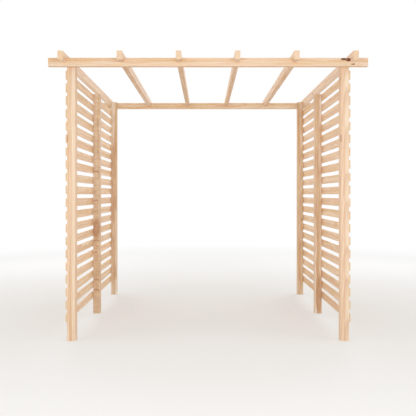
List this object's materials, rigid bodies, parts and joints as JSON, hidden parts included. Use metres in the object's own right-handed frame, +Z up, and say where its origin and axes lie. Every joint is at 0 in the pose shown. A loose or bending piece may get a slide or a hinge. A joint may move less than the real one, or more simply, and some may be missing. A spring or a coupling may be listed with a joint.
{
  "type": "garden pergola",
  "caption": "Open garden pergola in planed pine: square posts, cross beams, rafters notched over them, and a screen of horizontal slats on each side.",
  "frame": {"origin": "on the ground at the middle of the plan", "axes": "+Z up, -Y towards the open front, +X to the right as seen from the front"},
  "size_m": [2.7, 2.7, 2.436],
  "materials": {
    "posts": "planed pine, unfinished",
    "beams": "planed pine, unfinished",
    "rafters": "planed pine, unfinished",
    "slats": "planed pine, unfinished"
  },
  "bodies": {
    "root": {"front_left_post": "posts", "middle_left_post": "posts", "back_left_post": "posts", "front_right_post": "posts", "middle_right_post": "posts", "back_right_post": "posts", "front_beam": "beams", "back_beam": "beams", "rafter_1": "rafters", "rafter_2": "rafters", "rafter_3": "rafters", "rafter_4": "rafters", "rafter_5": "rafters", "rafter_6": "rafters", "left_slats_1_2": "slats", "left_slats_3_4": "slats", "left_slats_5_6": "slats", "left_slats_7_8": "slats", "left_slats_9_10": "slats", "left_slats_11_12": "slats", "left_slats_13_14": "slats", "left_slats_15_16": "slats", "left_slats_17_18": "slats", "left_slats_19_20": "slats", "right_slats_1_2": "slats", "right_slats_3_4": "slats", "right_slats_5_6": "slats", "right_slats_7_8": "slats", "right_slats_9_10": "slats", "right_slats_11_12": "slats", "right_slats_13_14": "slats", "right_slats_15_16": "slats", "right_slats_17_18": "slats", "right_slats_19_20": "slats"}
  },
  "joints": []
}
